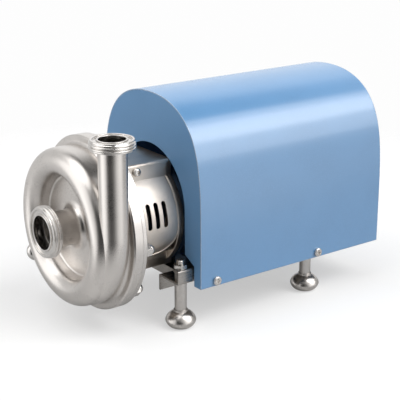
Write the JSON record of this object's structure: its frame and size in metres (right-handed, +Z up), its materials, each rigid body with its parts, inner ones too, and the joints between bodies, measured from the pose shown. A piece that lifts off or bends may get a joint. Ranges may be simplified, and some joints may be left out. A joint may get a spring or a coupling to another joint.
{
  "type": "sanitary centrifugal pump",
  "caption": "Close-coupled sanitary centrifugal pump: annular steel casing with round-thread unions, guarded lantern, hooded motor, and ball feet on threaded legs.",
  "frame": {"origin": "centre of the suction union's mouth, on the shaft line", "axes": "+X along the shaft from the suction mouth to the motor, +Z up, so that the discharge tube stands on the -Y side"},
  "size_m": [0.5466, 0.2801, 0.338],
  "materials": {
    "casing_steel": "satin, electropolished stainless",
    "union_steel": "polished, turned stainless",
    "fastener_steel": "polished stainless",
    "drain_steel": "polished stainless",
    "plate_steel": "fine turned stainless",
    "lantern_steel": "blasted stainless casting",
    "guard_steel": "brushed stainless sheet",
    "base_steel": "brushed stainless sheet",
    "foot_steel": "polished stainless",
    "impeller_steel": "satin cast stainless",
    "shaft_steel": "ground",
    "clamp_steel": "oiled steel",
    "seal_carbon": "carbon",
    "seal_ceramic": "ceramic",
    "gasket_rubber": "matt",
    "motor_aluminium": "satin paint on cast aluminium",
    "core_steel": "stacked sheet",
    "winding_copper": "varnished wire",
    "bearing_steel": "ground",
    "fan_plastic": "matt moulded",
    "cowl_steel": "satin paint",
    "terminal_plastic": "fine textured",
    "cover_paint": "satin powder coat"
  },
  "bodies": {
    "pump": {"volute_casing": "casing_steel", "suction_union": "union_steel", "discharge_union": "union_steel", "drain_plug": "drain_steel", "casing_gasket": "gasket_rubber", "back_plate": "plate_steel", "casing_studs": "fastener_steel", "casing_nuts": "fastener_steel", "seal_stationary_ring": "seal_ceramic", "lantern": "lantern_steel", "guard_near": "guard_steel", "guard_far": "guard_steel", "guard_screws": "fastener_steel", "back_plate_screws": "fastener_steel", "lantern_bolts": "fastener_steel", "motor_front_shield": "motor_aluminium", "motor_rear_shield": "motor_aluminium", "motor_frame": "motor_aluminium", "stator_core": "core_steel", "stator_windings": "winding_copper", "front_bearing_outer": "bearing_steel", "rear_bearing_outer": "bearing_steel", "fan_cowl": "cowl_steel", "terminal_box": "terminal_plastic", "terminal_lid": "terminal_plastic", "cable_gland": "terminal_plastic", "motor_shims": "base_steel", "motor_foot_bolts": "fastener_steel", "rail_near": "base_steel", "rail_far": "base_steel", "cross_plate_front": "base_steel", "cross_plate_rear": "base_steel", "leg_bushes": "base_steel", "lock_nuts": "fastener_steel", "cover_hood": "cover_paint", "cover_front_plate": "cover_paint", "cover_rear_plate": "cover_paint", "cover_brackets": "base_steel", "cover_screws": "fastener_steel"},
    "rotor": {"motor_shaft": "shaft_steel", "rotor_core": "core_steel", "front_bearing_inner": "bearing_steel", "rear_bearing_inner": "bearing_steel", "cooling_fan": "fan_plastic", "pump_shaft": "shaft_steel", "shaft_clamp_ring": "clamp_steel", "clamp_screw": "clamp_steel", "impeller": "impeller_steel", "impeller_nut": "impeller_steel", "seal_rotary_ring": "seal_carbon", "seal_spring": "shaft_steel"},
    "foot_front_near": {"leg_front_near": "foot_steel", "ball_foot_front_near": "foot_steel"},
    "foot_front_far": {"leg_front_far": "foot_steel", "ball_foot_front_far": "foot_steel"},
    "foot_rear_near": {"leg_rear_near": "foot_steel", "ball_foot_rear_near": "foot_steel"},
    "foot_rear_far": {"leg_rear_far": "foot_steel", "ball_foot_rear_far": "foot_steel"}
  },
  "joints": [
    {"name": "shaft_spin", "type": "hinge", "parent": "pump", "child": "rotor", "pos_m": [0.2, 0, 0], "axis": [1, 0, 0], "continuous": true},
    {"name": "leg_front_near_height", "type": "slide", "parent": "pump", "child": "foot_front_near", "axis": [0, 0, -1], "range_m": [0, 0.02]},
    {"name": "leg_front_far_height", "type": "slide", "parent": "pump", "child": "foot_front_far", "axis": [0, 0, -1], "range_m": [0, 0.02]},
    {"name": "leg_rear_near_height", "type": "slide", "parent": "pump", "child": "foot_rear_near", "axis": [0, 0, -1], "range_m": [0, 0.02]},
    {"name": "leg_rear_far_height", "type": "slide", "parent": "pump", "child": "foot_rear_far", "axis": [0, 0, -1], "range_m": [0, 0.02]}
  ]
}
